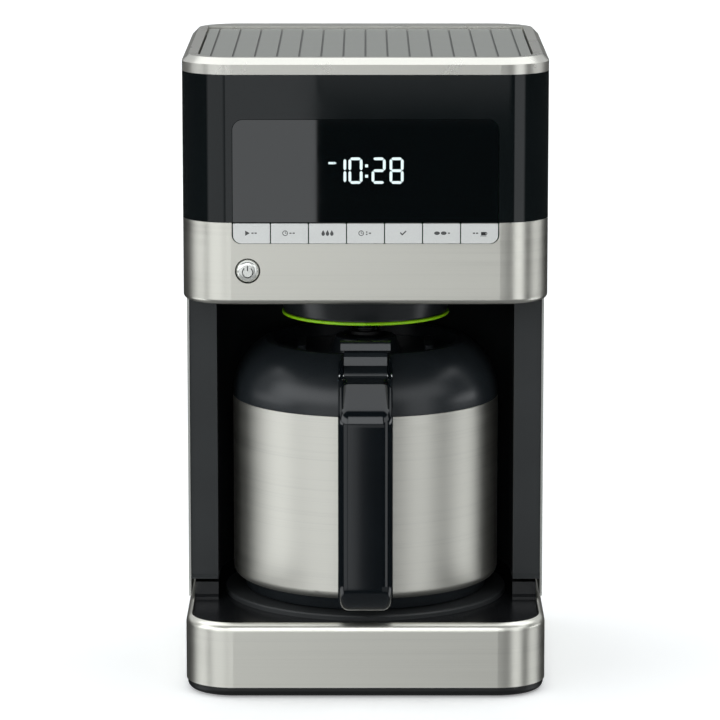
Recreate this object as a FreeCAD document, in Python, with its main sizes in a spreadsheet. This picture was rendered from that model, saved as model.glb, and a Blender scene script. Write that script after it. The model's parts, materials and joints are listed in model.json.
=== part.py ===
import FreeCAD, Part
import math
import os
import Sketcher

# Drip coffee maker with a steel thermal carafe, as a parametric document in millimetres.
#
# Frame: +Z up, X to the right of someone facing the machine, +Y towards its rear.
# The origin is under the middle of the whole object, handle included, on the worktop.
# Depths in the sheet are measured rearwards from the machine's front plane.

DIMENSIONS = {
    # whole machine
    "width": 200.0, "depth": 200.0, "height": 355.0, "corner_radius": 27.0,
    "handle_reach": 27.0, "skin": 1.2, "skin_rear": 165.0, "wall": 2.5, "slack": 0.1,
    # base
    "foot_radius": 8.0, "foot_height": 2.4, "foot_across": 72.0, "foot_front": 30.0,
    "foot_rear": 172.0, "plate_bottom": 0.6, "plate_round": 3.4, "plate_inset": 0.8,
    "band_bottom": 5.9, "band_top": 42.5, "band_round": 4.9, "band_lip": 3.2,
    "deck_top": 40.5, "deck_roof": 3.5, "plinth_top": 50.0, "plinth_front": 68.0,
    "rest_radius": 80.0, "rest_height": 3.0,
    "screw_across": 86.0, "screw_front": 45.0, "screw_rear": 155.0,
    "screw_shank": 1.9, "screw_head": 3.6, "screw_length": 14.0, "screw_room": 0.3,
    "boss_radius": 5.0, "gland_left": 58.0, "gland_height": 21.0, "gland_radius": 8.0,
    "gland_flange": 10.5, "gland_bore": 3.6, "gland_length": 10.0,
    # column around the carafe bay
    "axis_depth": 94.0, "bay_half": 83.4, "column_front": 66.0, "pillar_bottom": 52.5,
    "pillar_thick": 4.0, "pillar_return": 22.0, "lip_reach": 1.2, "liner_wall": 2.5,
    "vent_width": 70.0, "vent_slot": 3.0, "vent_low": 66.0, "vent_rise": 42.0,
    # head
    "head_bottom": 220.6, "steel_top": 265.6, "black_top": 346.1, "head_lip": 3.2,
    "chassis_bottom": 223.9, "chassis_floor": 2.6, "chassis_front": 20.0,
    "chassis_corner": 10.0, "chassis_wall": 2.0, "funnel_hole": 53.0,
    "level_front": 118.0, "level_width": 12.0, "level_low": 272.0, "level_height": 60.0,
    "level_round": 3.0,
    # top ring and lid
    "ring_chamfer": 3.5, "rail": 8.7, "ring_rear": 177.1, "front_corner": 18.0,
    "rear_corner": 1.6, "lid_gap": 1.0, "lid_top": 354.0, "lid_plate": 2.4,
    "hinge_depth": 172.0, "hinge_height": 349.8, "barrel": 4.2, "barrel_half": 83.5,
    "hinge_pin": 1.5, "groove_pitch": 12.0, "groove_width": 1.1, "groove_depth": 0.8,
    "liner_half": 87.0, "liner_front": 14.0, "liner_rear": 166.0, "liner_bottom": 341.5,
    "pin_length": 15.0, "pin_depth": 5.0,
    "spray_radius": 42.0, "spray_bottom": 333.0, "spray_hole": 1.6, "spray_circle": 30.0,
    "arm_across": 66.0, "arm_half": 7.0,
    # controls
    "panel_half": 72.2, "panel_top": 322.0, "panel_round": 6.0, "key_bottom": 254.4,
    "key_pitch": 20.6, "key_gap": 0.6, "key_round": 4.6, "key_proud": 0.4,
    "key_back": 3.0, "key_stem_end": 5.8, "window_recess": 0.3, "window_thick": 2.0,
    "button_across": 64.0, "button_height": 239.2, "button_radius": 6.5,
    "button_proud": 1.2, "button_round": 3.4, "button_stem_end": 5.3,
    "board_depth": 12.0, "board_thick": 1.6, "switch_depth": 8.0, "plunger_depth": 7.0,
    # brewing parts
    "basket_bottom": 201.0, "basket_low_radius": 45.6, "basket_top": 330.0,
    "basket_top_radius": 60.0, "basket_flange": 65.0, "basket_wall": 2.0,
    "hub_radius": 8.0, "hub_bottom": 196.0, "mesh_floor": 211.0, "mesh_foot": 26.0,
    "mesh_rim": 56.3, "mesh_top": 316.0, "stem_radius": 4.0, "running_fit": 0.08,
    "stop_bottom": 188.4, "stop_foot": 8.5, "seal_ring": 47.3,
    "tank_half": 93.0, "tank_front": 80.0, "tank_rear": 193.0, "tank_bottom": 228.0,
    "tank_top": 336.0, "tank_bite": 69.0, "tank_corner": 20.0,
    "hose_across": 66.0, "hose_depth": 162.0, "hose_radius": 5.5, "hose_bore": 4.0,
    "hose_bend": 16.0, "heater_height": 22.0, "heater_leg_end": 118.0,
    "heater_half": 6.5, "heater_rise": 11.0, "nipple": 10.0, "valve_case": 14.0,
    "valve_case_radius": 7.0, "ball_radius": 3.4, "fuse_radius": 2.4,
    # carafe
    "carafe_radius": 75.3, "carafe_bottom": 43.8, "shell_bottom": 51.0,
    "shell_top": 154.5, "dome_corner": 175.8, "dome_round": 34.5, "rim_radius": 57.0,
    "rim_top": 186.4, "mouth_radius": 52.0, "ledge": 172.3, "neck_radius": 49.6,
    "liner_radius": 70.0, "liner_floor": 57.0, "steel_wall": 0.8,
    "handle_half": 15.0, "fork_half": 12.2, "fork_floor": 174.0, "lever_depth": 12.0,
    "lever_height": 179.0, "lever_pin": 1.5, "lever_top": 195.8, "finger_low": 188.0,
    "valve_depth": 58.0, "valve_radius": 3.0, "valve_top": 187.2,
}

V = FreeCAD.Vector
doc = FreeCAD.newDocument("DripCoffeeMaker")
sheet = doc.addObject("Spreadsheet::Sheet", "dims")
for row, (alias, value) in enumerate(DIMENSIONS.items(), start=1):
    sheet.set(f"A{row}", alias)
    sheet.set(f"B{row}", str(value))
    sheet.setAlias(f"B{row}", alias)
doc.recompute()

nodes = []      # every sub-part, in the order it is made


class Size:
    """A length that knows its value and the sheet expression it follows."""

    def __init__(self, value, text):
        self.value = value
        self.text = text

    def __add__(self, other):
        other = size_of(other)
        return Size(self.value + other.value, f"({self.text} + {other.text})")

    def __sub__(self, other):
        other = size_of(other)
        return Size(self.value - other.value, f"({self.text} - {other.text})")

    def __mul__(self, other):
        other = size_of(other)
        return Size(self.value * other.value, f"({self.text} * {other.text})")

    def __truediv__(self, other):
        other = size_of(other)
        return Size(self.value / other.value, f"({self.text} / {other.text})")

    def __neg__(self):
        return Size(-self.value, f"(0 - {self.text})")

    def __rsub__(self, other):
        return size_of(other) - self

    __radd__ = __add__
    __rmul__ = __mul__


def size_of(number):
    if isinstance(number, Size):
        return number
    return Size(float(number), f"({float(number)})")


class Dims:
    """Reads the sheet's cells by alias, as Size values."""

    def __getattr__(self, alias):
        return Size(float(sheet.get(alias)), f"dims.{alias}")


d = Dims()
half_width = d.width / 2
front = (d.handle_reach - d.depth) / 2      # Y of the machine's front plane
rear = front + d.depth
axis_y = front + d.axis_depth               # Y of the carafe's and the filter's axis


# ---------------------------------------------------------------- building helpers

def bind(thing, prop, size):
    thing.setExpression(prop, size_of(size).text)


def new_body(label, x=0, y=0, z=0):
    """A body for one sub-part, whose own origin stands at x, y, z."""
    body = doc.addObject("PartDesign::Body", label)
    body.Label = label
    for letter, place in (("x", x), ("y", y), ("z", z)):
        bind(body, f"Placement.Base.{letter}", place)
    nodes.append(body)
    return body


def new_sketch(body, plane, station):
    """A sketch on one of the body's origin planes, moved by station along its normal."""
    sketch = body.newObject("Sketcher::SketchObject", body.Label + "_sketch")
    support = [item for item in body.Origin.OriginFeatures if item.Role == plane][0]
    sketch.AttachmentSupport = [(support, "")]
    sketch.MapMode = "FlatFace"
    bind(sketch, "AttachmentOffset.Base.z", station)
    return sketch


def pin_point(sketch, geo, end, across, up):
    """Hold one point of the sketch at its two distances from the sketch's origin."""
    for kind, place, axis in (("DistanceX", across, -2), ("DistanceY", up, -1)):
        place = size_of(place)
        if place.text == "(0.0)":
            sketch.addConstraint(Sketcher.Constraint("PointOnObject", geo, end, axis))
        else:
            index = sketch.addConstraint(Sketcher.Constraint(kind, geo, end, place.value))
            sketch.setExpression(f"Constraints[{index}]", place.text)


def draw_circle(sketch, across, up, radius):
    across, up, radius = size_of(across), size_of(up), size_of(radius)
    circle = Part.Circle(V(across.value, up.value, 0), V(0, 0, 1), radius.value)
    geo = sketch.addGeometry(circle, False)
    index = sketch.addConstraint(Sketcher.Constraint("Radius", geo, radius.value))
    sketch.setExpression(f"Constraints[{index}]", radius.text)
    pin_point(sketch, geo, 3, across, up)


def corner_arc(before, corner, after, radius):
    """Tangent points, arc and turning sense of a rounded corner."""
    back = (before - corner).normalize()
    ahead = (after - corner).normalize()
    opening = back.getAngle(ahead)
    reach = radius / math.tan(opening / 2)
    start = corner + back * reach
    end = corner + ahead * reach
    centre = corner + (back + ahead).normalize() * (radius / math.sin(opening / 2))
    turns_left = (corner - before).cross(after - corner).z > 0
    first, last = (start, end) if turns_left else (end, start)
    angles = [math.atan2(point.y - centre.y, point.x - centre.x) for point in (first, last)]
    arc = Part.ArcOfCircle(Part.Circle(centre, V(0, 0, 1), radius), *angles)
    return start, end, arc, turns_left


def draw_outline(sketch, corners):
    """A closed outline of straight sides; a corner's third value is its rounding radius."""
    corners = [[size_of(value) for value in corner] for corner in corners]
    points = [V(corner[0].value, corner[1].value, 0) for corner in corners]
    count = len(corners)
    starts, ends, arcs = list(points), list(points), {}
    for i, corner in enumerate(corners):
        if len(corner) == 3:
            before, after = points[i - 1], points[(i + 1) % count]
            starts[i], ends[i], arc, left = corner_arc(before, points[i], after, corner[2].value)
            arcs[i] = (arc, left)
    sides = [sketch.addGeometry(Part.LineSegment(ends[i], starts[(i + 1) % count]), False)
             for i in range(count)]
    for i, corner in enumerate(corners):
        side_in, side_out = sides[i - 1], sides[i]
        if i in arcs:
            arc, left = arcs[i]
            geo = sketch.addGeometry(arc, False)
            first, last = (1, 2) if left else (2, 1)
            point = sketch.addGeometry(Part.Point(points[i]), True)
            for rule in (Sketcher.Constraint("Tangent", side_in, 2, geo, first),
                         Sketcher.Constraint("Tangent", geo, last, side_out, 1),
                         Sketcher.Constraint("PointOnObject", point, 1, side_in),
                         Sketcher.Constraint("PointOnObject", point, 1, side_out)):
                sketch.addConstraint(rule)
            index = sketch.addConstraint(Sketcher.Constraint("Radius", geo, corner[2].value))
            sketch.setExpression(f"Constraints[{index}]", corner[2].text)
            pin_point(sketch, point, 1, corner[0], corner[1])
        else:
            rule = Sketcher.Constraint("Coincident", side_in, 2, side_out, 1)
            sketch.addConstraint(rule)
            pin_point(sketch, side_out, 1, corner[0], corner[1])


def draw(sketch, shape):
    """A shape is a list of corners, or a tuple: circle centre across, up, and radius."""
    if isinstance(shape, tuple):
        draw_circle(sketch, *shape)
    else:
        draw_outline(sketch, shape)


def extrude(body, plane, shapes, low, high, cut=False):
    """Pad shapes, or cut them away, from low to high along the axis across the plane."""
    low, high = size_of(low), size_of(high)
    faces_back = plane == "XZ_Plane"        # its normal points along -Y
    if faces_back:
        station = -low if cut else -high
    else:
        station = high if cut else low
    sketch = new_sketch(body, plane, station)
    for shape in shapes:
        draw(sketch, shape)
    kind = "PartDesign::Pocket" if cut else "PartDesign::Pad"
    feature = body.newObject(kind, body.Label + ("_pocket" if cut else "_pad"))
    feature.Profile = sketch
    bind(feature, "Length", high - low)
    sketch.Visibility = False
    return feature


def revolve(body, shapes, cut=False):
    """Turn shapes, drawn as (radius, height), about the body's Z axis."""
    sketch = new_sketch(body, "XZ_Plane", 0)
    for shape in shapes:
        draw(sketch, shape)
    kind = "PartDesign::Groove" if cut else "PartDesign::Revolution"
    feature = body.newObject(kind, body.Label + ("_groove" if cut else "_revolution"))
    feature.Profile = sketch
    feature.ReferenceAxis = (sketch, ["V_Axis"])
    feature.Angle = 360
    sketch.Visibility = False
    return feature


def soften(body, size, picks, chamfer=False):
    """Fillet or chamfer the edges of the body's last feature that picks chooses."""
    doc.recompute()
    tip = body.Tip
    names = [f"Edge{number}" for number, edge in enumerate(tip.Shape.Edges, start=1)
             if picks(edge)]
    if not names:
        raise RuntimeError(f"{body.Label}: no edge to soften")
    kind = "Chamfer" if chamfer else "Fillet"
    feature = body.newObject(f"PartDesign::{kind}", f"{body.Label}_{kind.lower()}")
    feature.Base = (tip, names)
    bind(feature, "Size" if chamfer else "Radius", size)
    return feature


def repeat_round(body, feature, count):
    """Repeat a feature evenly about the body's Z axis."""
    pattern = body.newObject("PartDesign::PolarPattern", body.Label + "_pattern")
    pattern.Originals = [feature]
    pattern.Axis = (feature.Profile[0], ["N_Axis"])
    pattern.Angle = 360
    pattern.Occurrences = count
    body.Tip = pattern


def repeat_along(body, feature, axis, length, count):
    """Repeat a feature along its sketch's H_Axis or V_Axis over a length."""
    pattern = body.newObject("PartDesign::LinearPattern", body.Label + "_pattern")
    pattern.Originals = [feature]
    pattern.Direction = (feature.Profile[0], [axis])
    bind(pattern, "Length", length)
    pattern.Occurrences = count
    body.Tip = pattern


def rectangle(left, right, low, high, radius=None):
    corners = [[left, low], [right, low], [right, high], [left, high]]
    if radius is not None:
        corners = [corner + [radius] for corner in corners]
    return corners


def plan_block(inset, radius=None):
    """The machine's plan outline, moved inwards by inset."""
    if radius is None:
        radius = d.corner_radius - inset
    return rectangle(inset - half_width, half_width - inset, front + inset, rear - inset, radius)


def front_skin(wall):
    """Plan of a skin round the front and sides, open at the rear."""
    outer, inner = d.corner_radius, d.corner_radius - wall
    side, back = half_width, front + d.skin_rear
    return [[-side, back], [-side, front, outer], [side, front, outer], [side, back],
            [side - wall, back], [side - wall, front + wall, inner],
            [wall - side, front + wall, inner], [wall - side, back]]


def rear_skin(wall):
    """Plan of a skin round the rear, open towards the front."""
    outer, inner = d.corner_radius, d.corner_radius - wall
    side, lead = half_width, front + d.skin_rear + d.slack
    return [[side, lead], [side, rear, outer], [-side, rear, outer], [-side, lead],
            [wall - side, lead], [wall - side, rear - wall, inner],
            [side - wall, rear - wall, inner], [side - wall, lead]]


def at_height(height):
    return lambda edge: all(abs(v.Z - height.value) < 0.01 for v in edge.Vertexes)


def vertical(edge):
    box = edge.BoundBox
    return box.XLength < 0.01 and box.YLength < 0.01


def cylinder(label, radius, height, x, y, z, axis=None):
    """A Part cylinder standing on x, y, z, or lying along +Y when axis is "Y"."""
    solid = doc.addObject("Part::Cylinder", label)
    bind(solid, "Radius", radius)
    bind(solid, "Height", height)
    if axis == "Y":
        solid.Placement = FreeCAD.Placement(V(0, 0, 0), FreeCAD.Rotation(V(1, 0, 0), -90))
    if axis == "X":
        solid.Placement = FreeCAD.Placement(V(0, 0, 0), FreeCAD.Rotation(V(0, 1, 0), 90))
    for letter, place in (("x", x), ("y", y), ("z", z)):
        bind(solid, f"Placement.Base.{letter}", place)
    return solid


def box(label, x, y, z, length, width, height):
    solid = doc.addObject("Part::Box", label)
    for prop, value in (("Length", length), ("Width", width), ("Height", height),
                        ("Placement.Base.x", x), ("Placement.Base.y", y),
                        ("Placement.Base.z", z)):
        bind(solid, prop, value)
    return solid


def group(label, solids):
    """Identical small pieces kept as separate solids of one node."""
    node = doc.addObject("Part::Compound", label)
    node.Label = label
    node.Links = solids
    nodes.append(node)
    return node


def fused(label, solids):
    node = doc.addObject("Part::MultiFuse", label)
    node.Shapes = solids
    return node


# ---------------------------------------------------------------- base

def make_base_plate():
    body = new_body("base_plate")
    extrude(body, "XY_Plane", [plan_block(d.plate_inset)], d.plate_bottom, d.band_bottom)
    soften(body, d.plate_round, at_height(d.plate_bottom))
    feet = [(sign * d.foot_across, front + depth, d.foot_radius + d.slack)
            for sign in (-1, 1) for depth in (d.foot_front, d.foot_rear)]
    extrude(body, "XY_Plane", feet, 0, d.foot_height, cut=True)
    for size, high in ((d.screw_head, d.band_bottom - 2), (d.screw_shank, d.band_bottom)):
        holes = [(x, y, size + d.screw_room) for x, y in screw_places()]
        extrude(body, "XY_Plane", holes, 0, high, cut=True)


def screw_places():
    return [(sign * d.screw_across, front + depth)
            for sign in (-1, 1) for depth in (d.screw_front, d.screw_rear)]


def make_feet():
    group("rubber_feet", [
        cylinder("foot", d.foot_radius, d.foot_height, sign * d.foot_across, front + depth, 0)
        for sign in (-1, 1) for depth in (d.foot_front, d.foot_rear)])


def make_base_screws():
    screws = []
    for x, y in screw_places():
        head = cylinder("screw_head", d.screw_head, 2, x, y, d.band_bottom - 4)
        shank = cylinder("screw_shank", d.screw_shank, d.screw_length, x, y, d.band_bottom - 2)
        screws.append(fused("base_screw", [head, shank]))
    group("base_screws", screws)


def make_base_band():
    body = new_body("base_band")
    extrude(body, "XY_Plane", [plan_block(0)], d.band_bottom, d.band_top)
    soften(body, d.band_round, at_height(d.band_top))
    extrude(body, "XY_Plane", [plan_block(d.skin)], d.band_bottom,
            d.band_top - d.band_round, cut=True)
    extrude(body, "XY_Plane", [plan_block(d.band_lip)], d.band_bottom, d.band_top, cut=True)
    extrude(body, "XZ_Plane", [gland_hole()], rear - d.gland_length, rear + 1, cut=True)


def gland_hole():
    return (-d.gland_left, d.gland_height, d.gland_radius + d.slack)


def make_base_deck():
    body = new_body("base_deck")
    inset = d.skin + d.slack
    shoulder = d.band_top - d.band_round - d.slack
    extrude(body, "XY_Plane", [plan_block(inset)], d.band_bottom, shoulder)
    extrude(body, "XY_Plane", [plan_block(d.band_lip + d.slack)], shoulder - 2, d.deck_top)
    inner = plan_block(inset + d.wall)
    extrude(body, "XY_Plane", [inner], d.band_bottom, d.deck_top - d.deck_roof, cut=True)
    # raised plinth that carries the column, with the bay cut out of it
    margin = d.band_lip + d.slack
    side, back, corner = half_width - margin, rear - margin, d.corner_radius - margin
    plinth = [[-side, front + d.plinth_front], [side, front + d.plinth_front],
              [side, back, corner], [-side, back, corner]]
    extrude(body, "XY_Plane", [plinth], d.deck_top, d.plinth_top)
    extrude(body, "XY_Plane", [(0, axis_y, d.bay_half)], d.deck_top, d.plinth_top + 1, cut=True)
    mouth = rectangle(-d.bay_half, d.bay_half, front + d.plinth_front - 1, axis_y)
    extrude(body, "XY_Plane", [mouth], d.deck_top, d.plinth_top + 1, cut=True)
    lip = lip_outline(front + d.plinth_front, d.deck_top)
    for low, high in ((-side, -d.bay_half), (d.bay_half, side)):
        extrude(body, "YZ_Plane", [lip], low, high)
    # screw bosses, hose holes and the opening for the cord gland
    bosses = [(x, y, d.boss_radius) for x, y in screw_places()]
    extrude(body, "XY_Plane", bosses, d.band_bottom + 0.1, d.deck_top - d.deck_roof + 1)
    pilots = [(x, y, d.screw_shank) for x, y in screw_places()]
    extrude(body, "XY_Plane", pilots, d.band_bottom, d.band_bottom + d.screw_length, cut=True)
    hoses = [(sign * d.hose_across, front + d.hose_depth, d.hose_radius + 1) for sign in (-1, 1)]
    extrude(body, "XY_Plane", hoses, d.deck_top - d.deck_roof - 1, d.plinth_top + 1, cut=True)
    extrude(body, "XZ_Plane", [gland_hole()], rear - d.gland_length, rear, cut=True)


def make_carafe_rest():
    body = new_body("carafe_rest", y=axis_y)
    top = d.deck_top + d.rest_height
    revolve(body, [[[0, d.deck_top], [d.rest_radius, d.deck_top],
                    [d.rest_radius, top, 0.9], [0, top]]])


def make_cord_gland():
    """Bushing in the rear wall that the supply cord passes through."""
    body = new_body("cord_gland", x=-d.gland_left, z=d.gland_height)
    wall_inside = rear - d.skin - d.slack - d.wall
    start = rear - d.gland_length
    extrude(body, "XZ_Plane", [(0, 0, d.gland_radius)], start, rear)
    extrude(body, "XZ_Plane", [(0, 0, d.gland_flange)], wall_inside - 3, wall_inside)
    extrude(body, "XZ_Plane", [(0, 0, d.gland_bore)], start - 1, rear + 1, cut=True)


# ---------------------------------------------------------------- column

def make_pillar(side):
    """Front trim of the column on one side, with a return into the bay."""
    sign = -1 if side == "left" else 1
    body = new_body(f"pillar_{side}")
    inner, outer = d.bay_half, half_width - d.skin - d.slack
    lead = front + d.column_front
    turn, end = inner + d.liner_wall, lead + d.pillar_return
    outline = [[sign * inner, lead], [sign * outer, lead],
               [sign * outer, lead + d.pillar_thick], [sign * turn, lead + d.pillar_thick],
               [sign * turn, end], [sign * inner, end]]
    extrude(body, "XY_Plane", [outline], d.pillar_bottom, d.head_bottom - d.slack)
    low, high = (inner, outer) if side == "right" else (-outer, -inner)
    extrude(body, "YZ_Plane", [lip_outline(lead, d.pillar_bottom)], low, high)


def lip_outline(lead, low):
    """Side view of a lip that stands forward of lead, with its bevel looking up."""
    reach = d.lip_reach
    return [[lead + 1, low], [lead - reach, low], [lead - reach, low + reach * 0.7],
            [lead, low + reach * 2], [lead + 1, low + reach * 2]]


def make_side_panel(side):
    sign = -1 if side == "left" else 1
    body = new_body(f"side_panel_{side}")
    lead = front + d.column_front - 1.1
    back = front + d.skin_rear
    outline = [[sign * half_width, lead], [sign * half_width, back],
               [sign * (half_width - d.skin), back], [sign * (half_width - d.skin), lead]]
    extrude(body, "XY_Plane", [outline], d.band_top + d.slack, d.head_bottom - d.slack)


def make_bay_liner():
    """The curved wall behind and beside the carafe."""
    body = new_body("bay_liner")
    low, high = d.plinth_top, d.chassis_bottom - d.slack
    lead = front + d.column_front + d.pillar_return + d.slack
    outer, inner = d.bay_half + d.liner_wall, d.bay_half
    extrude(body, "XY_Plane", [(0, axis_y, outer)], low, high)
    extrude(body, "XY_Plane", [rectangle(-outer, outer, lead, axis_y)], low, high)
    extrude(body, "XY_Plane", [(0, axis_y, inner)], low, high, cut=True)
    front_edge = axis_y - outer - 1
    extrude(body, "XY_Plane", [rectangle(-inner, inner, front_edge, axis_y)], low, high, cut=True)
    extrude(body, "XY_Plane", [rectangle(-outer - 1, outer + 1, front_edge, lead)],
            low, high, cut=True)


def make_rear_cover():
    body = new_body("rear_cover")
    extrude(body, "XY_Plane", [rear_skin(d.wall)], d.band_top + d.slack, d.black_top)
    slot = rectangle(-d.vent_width / 2, d.vent_width / 2, d.vent_low,
                     d.vent_low + d.vent_slot, 1.4)
    vent = extrude(body, "XZ_Plane", [slot], rear - d.wall - 1, rear + 1, cut=True)
    repeat_along(body, vent, "V_Axis", d.vent_rise, 8)


# ---------------------------------------------------------------- head

def make_head_chassis():
    """The moulding that holds tank and basket, closed below by its floor."""
    body = new_body("head_chassis")
    side = half_width - d.wall - d.slack
    back = rear - d.wall - d.slack
    corner = d.corner_radius - d.wall - d.slack
    lead = front + d.skin + d.slack
    floor_top = d.chassis_bottom + d.chassis_floor
    floor_plan = [[-side, lead, corner], [side, lead, corner],
                  [side, back, corner], [-side, back, corner]]
    extrude(body, "XY_Plane", [floor_plan], d.chassis_bottom, floor_top)
    wall_front, bend, wall = front + d.chassis_front, d.chassis_corner, d.chassis_wall
    outer = [[-side, wall_front, bend], [side, wall_front, bend],
             [side, back, corner], [-side, back, corner]]
    inner = [[wall - side, wall_front + wall, bend - wall],
             [side - wall, wall_front + wall, bend - wall],
             [side - wall, back - wall, corner - wall],
             [wall - side, back - wall, corner - wall]]
    extrude(body, "XY_Plane", [outer], floor_top - 0.5, d.black_top - d.slack)
    extrude(body, "XY_Plane", [inner], floor_top, d.black_top, cut=True)
    extrude(body, "XY_Plane", [(0, axis_y, d.funnel_hole)],
            d.chassis_bottom, floor_top + 1, cut=True)
    hoses = [(sign * d.hose_across, front + d.hose_depth, d.hose_radius + 1.5)
             for sign in (-1, 1)]
    extrude(body, "XY_Plane", hoses, d.chassis_bottom, floor_top + 1, cut=True)
    extrude(body, "YZ_Plane", [level_outline(0)], side - 3, side + 1, cut=True)
    # notch in the front wall, where the lid's inner tray comes down
    reach = d.liner_half + 2
    notch = rectangle(-reach, reach, d.liner_bottom - 2, d.black_top + 1)
    extrude(body, "XZ_Plane", [notch], wall_front - 1, wall_front + wall + 1, cut=True)


def level_outline(inset):
    """Side view of the level window's opening, moved inwards by inset."""
    low, lead = d.level_low, front + d.level_front
    return rectangle(lead + inset, lead + d.level_width - inset, low + inset,
                     low + d.level_height - inset, d.level_round - inset)


def make_head_band():
    """Brushed steel skin of the head, with the keys' cut-out and the button's hole."""
    body = new_body("head_band")
    low, high = d.head_bottom, d.steel_top
    extrude(body, "XY_Plane", [front_skin(d.head_lip + 2.8)], low, low + d.head_lip)
    soften(body, d.head_lip - 0.4, lower_outer_edge)
    extrude(body, "XY_Plane", [front_skin(d.skin)], low + d.head_lip - 0.2, high)
    reach = d.panel_half + 0.3
    keys = [[-reach, d.key_bottom - 0.3, d.key_round + 0.3],
            [reach, d.key_bottom - 0.3, d.key_round + 0.3], [reach, high + 1], [-reach, high + 1]]
    extrude(body, "XZ_Plane", [keys], front - 1, front + d.skin + 1, cut=True)
    hole = (-d.button_across, d.button_height, d.button_radius + 0.4)
    extrude(body, "XZ_Plane", [hole], front - 1, front + d.skin + 1, cut=True)


def lower_outer_edge(edge):
    """The outside edge of the head band's underside."""
    extent = edge.BoundBox
    outside = max(abs(extent.XMin), abs(extent.XMax)) > half_width.value - 0.01
    in_front = extent.YMin < front.value + 0.01
    end_face = extent.YLength < 0.01 and extent.YMin > 0
    return at_height(d.head_bottom)(edge) and (outside or in_front) and not end_face


def make_front_fascia():
    """Gloss black surround of the display, round the front and sides."""
    body = new_body("front_fascia")
    low, high = d.steel_top + d.slack, d.black_top - d.slack
    extrude(body, "XY_Plane", [front_skin(d.wall)], low, high)
    reach, top = d.panel_half, d.panel_top
    window = [[-reach, low - 1], [reach, low - 1], [reach, top, d.panel_round],
              [-reach, top, d.panel_round]]
    extrude(body, "XZ_Plane", [window], front - 1, front + d.wall + 1, cut=True)
    extrude(body, "YZ_Plane", [level_outline(0)], half_width - d.wall - 1, half_width + 1,
            cut=True)


def make_level_window():
    body = new_body("level_window")
    extrude(body, "YZ_Plane", [level_outline(d.slack)], half_width - d.wall - 2,
            half_width - 0.3)


def make_display_window():
    body = new_body("display_window")
    reach, gap = d.panel_half - 0.3, 0.3
    pane = [[-reach, d.steel_top + gap], [reach, d.steel_top + gap],
            [reach, d.panel_top - gap, d.panel_round - gap],
            [-reach, d.panel_top - gap, d.panel_round - gap]]
    lead = front + d.window_recess
    extrude(body, "XZ_Plane", [pane], lead, lead + d.window_thick)


def make_display_module():
    """Segment display behind the window, standing on the control board."""
    body = new_body("display_module")
    lead = front + d.window_recess + d.window_thick + 0.7
    frame = rectangle(-34, 40, 274, 314, 2)
    extrude(body, "XZ_Plane", [frame], lead, front + d.board_depth)


def make_control_board():
    node = box("control_board", -76, front + d.board_depth, 231,
               152, d.board_thick, 90)
    node.Label = "control_board"
    nodes.append(node)


def key_centre(number):
    return (number - 4) * d.key_pitch


def make_keys():
    """Seven keys side by side; the outer two follow the panel's round lower corners."""
    for number in range(1, 8):
        body = new_body(f"key_{number}")
        left = key_centre(number) - (d.key_pitch - d.key_gap) / 2
        right = key_centre(number) + (d.key_pitch - d.key_gap) / 2
        top = d.steel_top - 0.3
        outline = rectangle(left, right, d.key_bottom, top, 0.5)
        if number == 1:
            outline[0][2] = d.key_round
        if number == 7:
            outline[1][2] = d.key_round
        extrude(body, "XZ_Plane", [outline], front - d.key_proud, front + d.key_back)
        middle = (d.key_bottom + top) / 2
        extrude(body, "XZ_Plane", [(key_centre(number), middle, 2)],
                front + d.key_back - 0.5, front + d.key_stem_end)


def make_power_button():
    body = new_body("power_button", x=-d.button_across, z=d.button_height)
    extrude(body, "XZ_Plane", [(0, 0, d.button_radius)],
            front - d.button_proud, front + d.key_back)
    front_face = (front - d.button_proud).value
    soften(body, d.button_round, lambda edge: abs(edge.BoundBox.YMin - front_face) < 0.01
           and edge.BoundBox.YLength < 0.01)
    extrude(body, "XZ_Plane", [(0, 0, 2)],
            front + d.key_back - 0.5, front + d.button_stem_end)


def make_key_switches():
    """Tact switches on the control board: a square case with a round plunger each."""
    key_middle = (d.key_bottom + d.steel_top - 0.3) / 2
    places = [(key_centre(number), key_middle) for number in range(1, 8)]
    places.append((-d.button_across, d.button_height))
    switches = []
    for x, z in places:
        case = box("switch_case", x - 3, front + d.switch_depth, z - 3,
                   6, d.board_depth - d.switch_depth, 6)
        plunger = cylinder("switch_plunger", 1.6, d.switch_depth - d.plunger_depth + 0.5,
                           x, front + d.plunger_depth, z, axis="Y")
        switches.append(fused("key_switch", [case, plunger]))
    group("key_switches", switches)


# ---------------------------------------------------------------- top ring and lid

def make_top_ring():
    body = new_body("top_ring")
    extrude(body, "XY_Plane", [plan_block(0)], d.black_top, d.height)
    soften(body, d.ring_chamfer, at_height(d.height), chamfer=True)
    side = half_width - d.rail
    opening = [[-side, front + d.rail, d.front_corner], [side, front + d.rail, d.front_corner],
               [side, front + d.ring_rear, d.rear_corner],
               [-side, front + d.ring_rear, d.rear_corner]]
    extrude(body, "XY_Plane", [opening], d.black_top, d.height, cut=True)
    bore = (front + d.hinge_depth, d.hinge_height, d.hinge_pin)
    reach = side + d.pin_depth
    extrude(body, "YZ_Plane", [bore], -reach, reach, cut=True)


def make_hinge_pins():
    length = d.pin_length
    inner = half_width - d.rail + d.pin_depth - length
    group("lid_hinge_pins", [
        cylinder("hinge_pin", d.hinge_pin, length, start, front + d.hinge_depth,
                 d.hinge_height, axis="X") for start in (inner, -inner - length)])


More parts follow.
